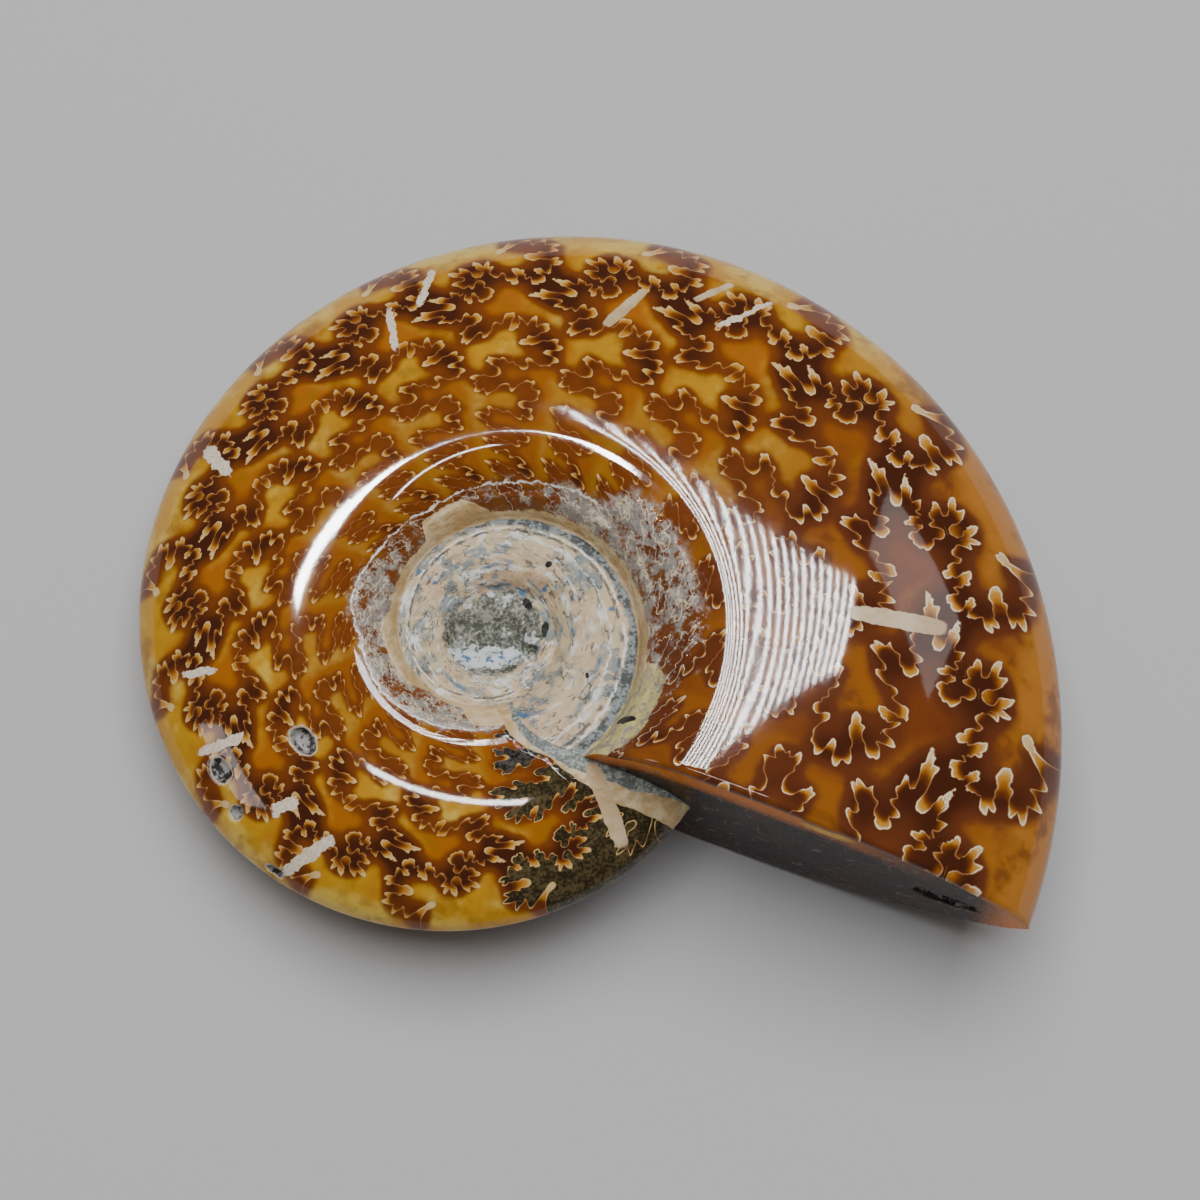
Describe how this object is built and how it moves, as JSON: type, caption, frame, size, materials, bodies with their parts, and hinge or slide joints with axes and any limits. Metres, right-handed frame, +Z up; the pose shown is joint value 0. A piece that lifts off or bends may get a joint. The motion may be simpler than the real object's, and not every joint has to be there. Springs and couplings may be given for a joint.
{
  "type": "cleoniceras ammonite fossil",
  "caption": "Polished spiral ammonite fossil that lies on one flank, with a narrow venter, an open umbilicus and a flat cut aperture.",
  "frame": {"origin": "bottom centre of the bounding box, on the surface that the fossil lies on", "axes": "+Z up, square to the resting surface; +X along the longest extent, towards the aperture; +Y to the back of the shell"},
  "size_m": [0.1124, 0.0916, 0.0296],
  "materials": {
    "polished_calcite": "polished brown and amber calcite with fine cream suture lines"
  },
  "bodies": {
    "root": {"ammonite": "polished_calcite"}
  },
  "joints": []
}
